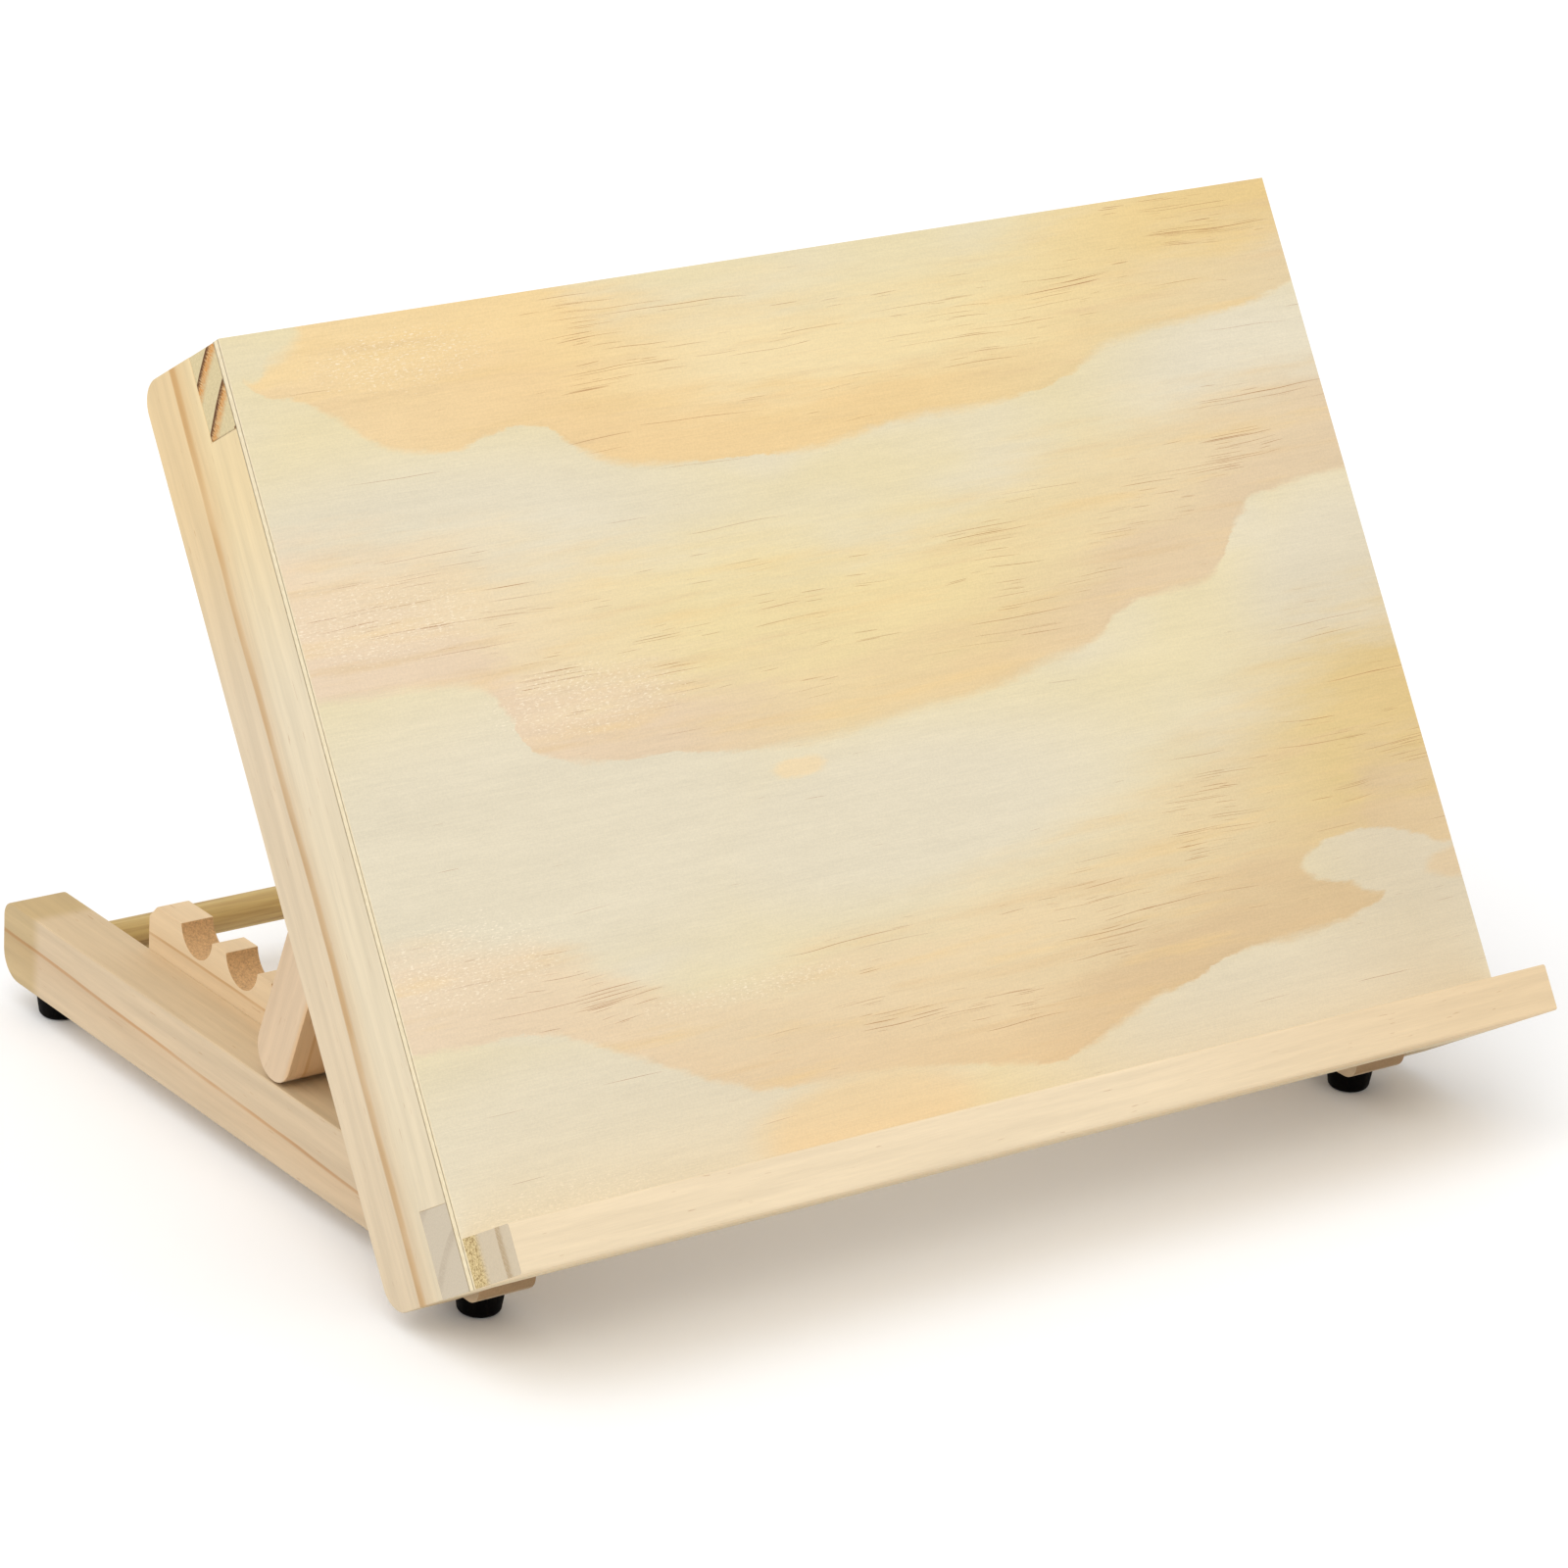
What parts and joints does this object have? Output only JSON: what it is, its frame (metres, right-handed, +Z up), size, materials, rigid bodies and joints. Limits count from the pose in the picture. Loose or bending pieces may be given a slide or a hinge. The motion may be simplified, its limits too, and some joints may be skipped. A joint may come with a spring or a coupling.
{
  "type": "book display stand",
  "caption": "Wooden tabletop book stand: a plywood-faced sloping board with a ledge, hinged to a folding base and held by a prop in ratchet notches.",
  "frame": {"origin": "centre of the footprint box, on the table under the rubber feet", "axes": "+X to the reader's right along the ledge, +Y towards the back, +Z up"},
  "size_m": [0.42, 0.3524, 0.2901],
  "materials": {
    "plywood": "unsealed pine plywood, cream with orange flame figure, satin",
    "stile_pine": "planed pale pine with a darker latewood line along the grain, matt",
    "cross_rail_pine": "planed pine, end grain at both ends, matt",
    "ledge_pine": "planed pine, slightly peach, matt",
    "base_pine": "planed pine, slightly pink-brown, matt",
    "ratchet_wood": "planed wood with rough brown end grain in the notches, matt",
    "prop_pine": "planed pine, matt",
    "dowel_wood": "turned dowel, olive brown, matt",
    "rubber": "moulded black rubber, matt",
    "steel": "bright zinc-plated steel"
  },
  "bodies": {
    "base": {"left_base_rail": "base_pine", "right_base_rail": "base_pine", "rear_dowel": "dowel_wood", "left_ratchet": "ratchet_wood", "right_ratchet": "ratchet_wood", "ratchet_screws": "steel", "front_left_foot": "rubber", "front_right_foot": "rubber", "rear_left_foot": "rubber", "rear_right_foot": "rubber", "foot_screws": "steel"},
    "board": {"face_panel": "plywood", "left_stile": "stile_pine", "right_stile": "stile_pine", "top_cross_rail": "cross_rail_pine", "bottom_cross_rail": "cross_rail_pine", "ledge": "ledge_pine", "ledge_screws": "steel", "left_base_pivot_screw": "steel", "right_base_pivot_screw": "steel", "left_base_pivot_washer": "steel", "right_base_pivot_washer": "steel", "left_prop_pivot_screw": "steel", "right_prop_pivot_screw": "steel", "left_prop_pivot_washer": "steel", "right_prop_pivot_washer": "steel"},
    "prop": {"left_prop_arm": "prop_pine", "right_prop_arm": "prop_pine", "prop_dowel": "dowel_wood"}
  },
  "joints": [
    {"name": "board_tilt", "type": "hinge", "parent": "base", "child": "board", "pos_m": [0, -0.11536, 0.0237], "axis": [1, 0, 0], "range_deg": [0, 40]},
    {"name": "prop_swing", "type": "hinge", "parent": "board", "child": "prop", "pos_m": [0, -0.04733, 0.17076], "axis": [1, 0, 0], "range_deg": [-53.3, 0]}
  ],
  "couplings": [
    {"joint": "prop_swing", "follows": "board_tilt", "ratio": -1.3325}
  ]
}
